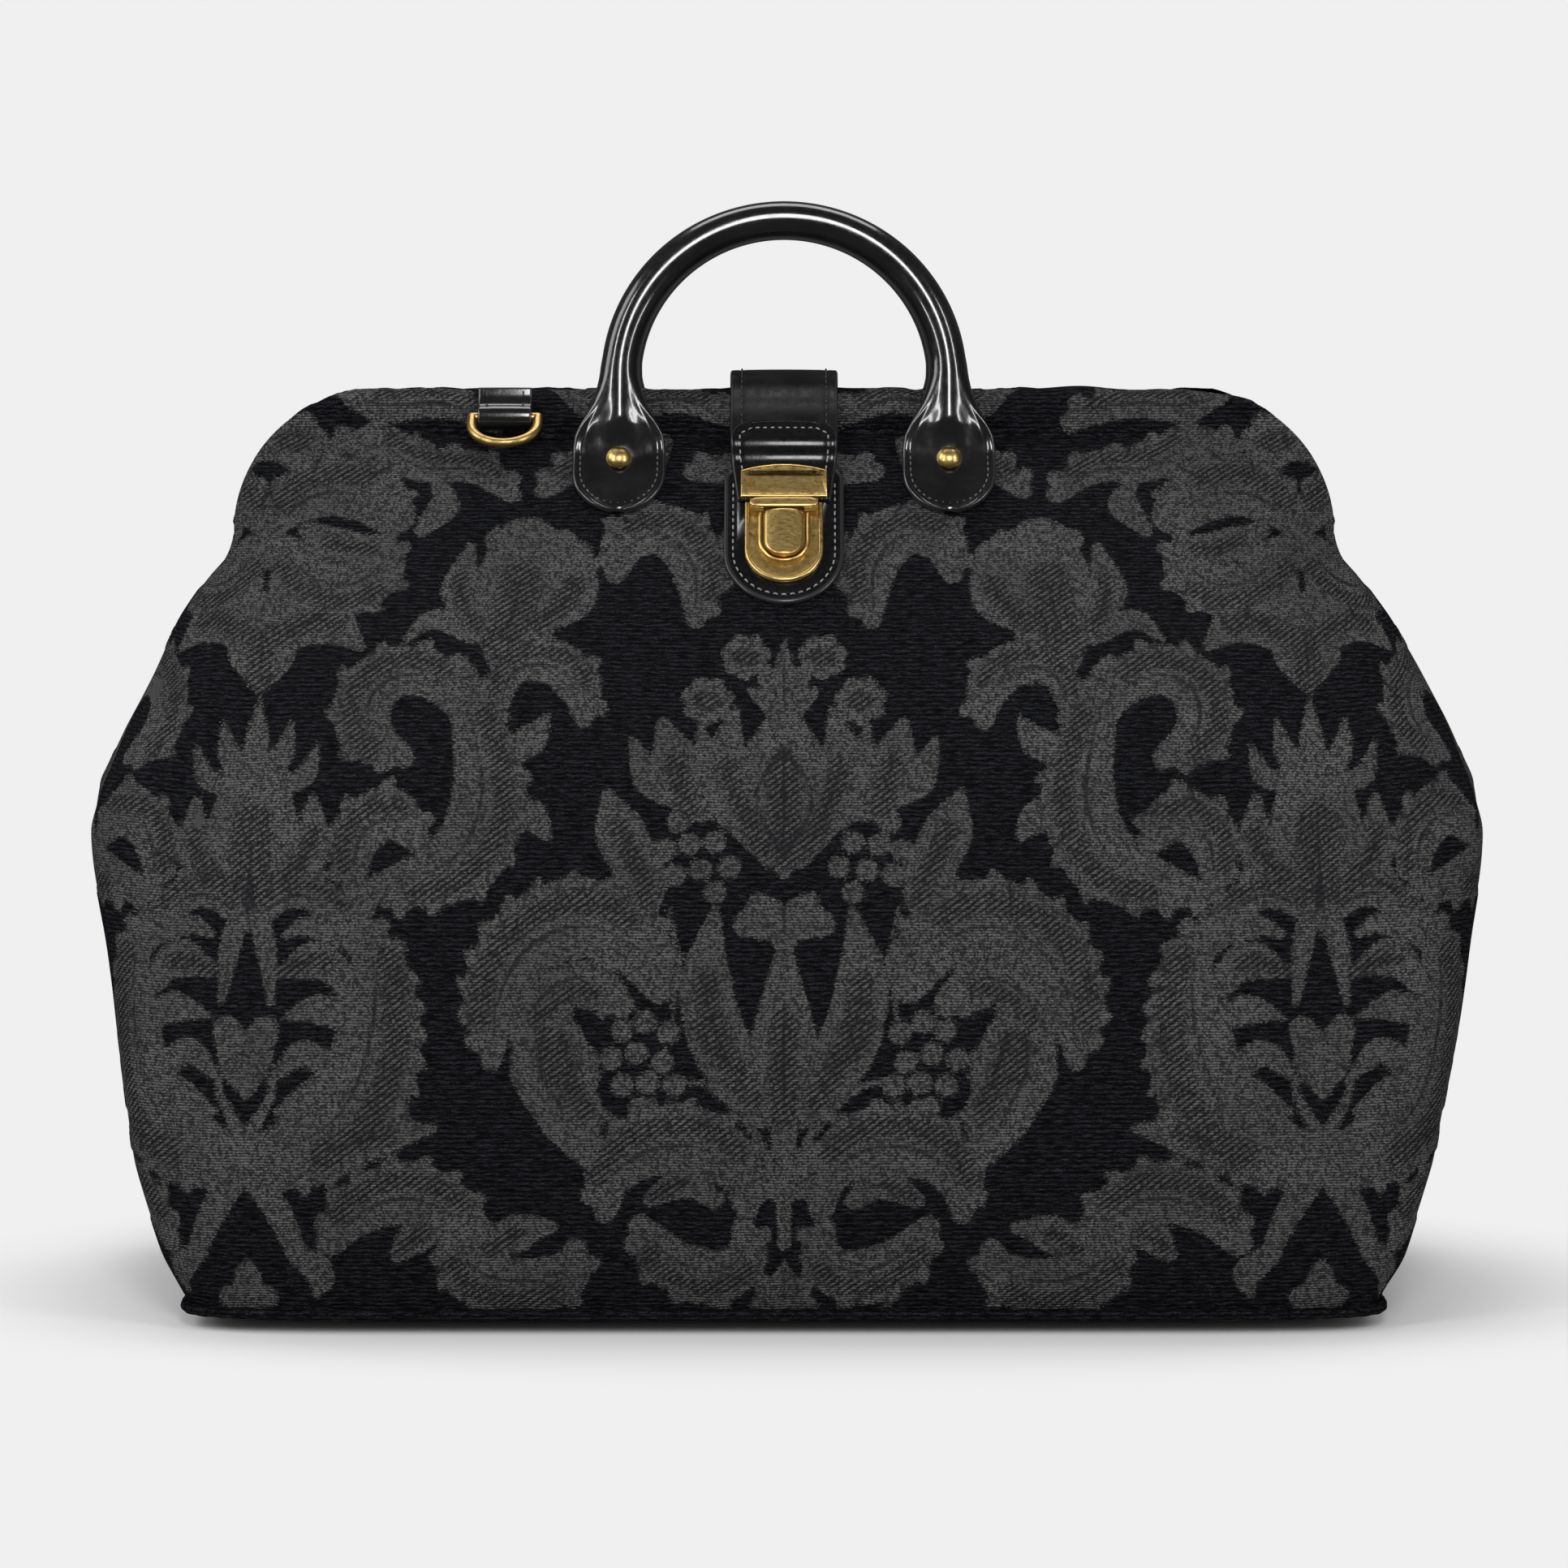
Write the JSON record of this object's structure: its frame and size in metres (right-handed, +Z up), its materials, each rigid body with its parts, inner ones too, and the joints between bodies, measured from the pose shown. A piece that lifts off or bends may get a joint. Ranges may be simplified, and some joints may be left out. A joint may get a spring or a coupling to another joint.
{
  "type": "doctor bag",
  "caption": "Cloth doctor bag with a steel hinged frame mouth, arched rolled handles, strap with tuck lock, D-rings and metal feet.",
  "frame": {"origin": "on the ground under the middle of the bag, at the centre of its box", "axes": "+X to the right seen from the front, -Y out of the front with the lock, +Z up"},
  "size_m": [0.5, 0.228, 0.3978],
  "materials": {
    "woven_cloth": "black chenille jacquard with a flat grey woven damask",
    "lining_cloth": "plain black twill lining",
    "black_leather": "glossy black leather with painted edges",
    "antique_brass": "antiqued brass, mottled, bright on its edges",
    "frame_steel": "plain steel strip",
    "floor_board": "pressed fibre board",
    "rope_core": "twisted cotton rope"
  },
  "bodies": {
    "body": {"bottom_panel": "woven_cloth", "bottom_board": "floor_board", "bottom_piping": "woven_cloth", "front_body_panel": "woven_cloth", "back_body_panel": "woven_cloth", "lining": "lining_cloth", "lining_floor": "lining_cloth", "feet": "antique_brass", "foot_washers": "antique_brass"},
    "front_frame": {"front_frame_bar": "frame_steel", "hinge_pins": "frame_steel", "front_top_panel": "woven_cloth", "front_pad_left": "black_leather", "front_pad_right": "black_leather", "front_handle_rivets": "antique_brass", "front_rivet_burrs": "antique_brass", "lock_patch": "black_leather", "lock_base_plate": "antique_brass", "lock_case": "antique_brass", "lock_spring": "frame_steel", "lock_rivets": "antique_brass", "lock_back_plate": "frame_steel", "front_ring_loop": "black_leather"},
    "back_frame": {"back_frame_bar": "frame_steel", "back_top_panel": "woven_cloth", "back_pad_left": "black_leather", "back_pad_right": "black_leather", "back_handle_rivets": "antique_brass", "back_rivet_burrs": "antique_brass", "strap_anchor": "black_leather", "strap_anchor_rivets": "antique_brass", "back_ring_loop": "black_leather"},
    "strap": {"closure_strap": "black_leather", "closure_tab": "black_leather", "tongue_plate": "antique_brass", "tab_rivets": "antique_brass"},
    "button": {"lock_button": "antique_brass"},
    "front_handle": {"front_grip": "black_leather", "front_grip_core": "rope_core"},
    "back_handle": {"back_grip": "black_leather", "back_grip_core": "rope_core"},
    "front_ring": {"front_d_ring": "antique_brass"},
    "back_ring": {"back_d_ring": "antique_brass"}
  },
  "joints": [
    {"name": "front_frame_open", "type": "hinge", "parent": "body", "child": "front_frame", "pos_m": [0, 0, 0.272], "axis": [1, 0, 0], "range_deg": [0, 35], "deforming": ["front_top_panel"]},
    {"name": "back_frame_open", "type": "hinge", "parent": "body", "child": "back_frame", "pos_m": [0, 0, 0.272], "axis": [-1, 0, 0], "range_deg": [0, 35], "deforming": ["back_top_panel"]},
    {"name": "strap_swing", "type": "hinge", "parent": "back_frame", "child": "strap", "pos_m": [0, 0.012, 0.3315], "axis": [-1, 0, 0], "range_deg": [0, 56], "deforming": ["closure_strap", "closure_tab"]},
    {"name": "lock_press", "type": "slide", "parent": "front_frame", "child": "button", "axis": [0, 0.8127, -0.5827], "range_m": [0, 0.0012], "stiffness_N_per_m": 800, "springref_m": -0.001, "deforming": ["lock_spring"]},
    {"name": "front_handle_fold", "type": "hinge", "parent": "front_frame", "child": "front_handle", "pos_m": [0, -0.0225, 0.3205], "axis": [1, 0, 0], "range_deg": [0, 110]},
    {"name": "back_handle_fold", "type": "hinge", "parent": "back_frame", "child": "back_handle", "pos_m": [0, 0.0225, 0.3205], "axis": [-1, 0, 0], "range_deg": [0, 110]},
    {"name": "front_ring_swing", "type": "hinge", "parent": "front_frame", "child": "front_ring", "pos_m": [-0.101, -0.0183, 0.3195], "axis": [-1, 0, 0], "range_deg": [-22, 113]},
    {"name": "back_ring_swing", "type": "hinge", "parent": "back_frame", "child": "back_ring", "pos_m": [0.101, 0.0183, 0.3195], "axis": [1, 0, 0], "range_deg": [-22, 113]}
  ],
  "couplings": [
    {"joint": "back_frame_open", "follows": "front_frame_open", "ratio": 1},
    {"joint": "strap_swing", "follows": "front_frame_open", "ratio": 1.6}
  ]
}
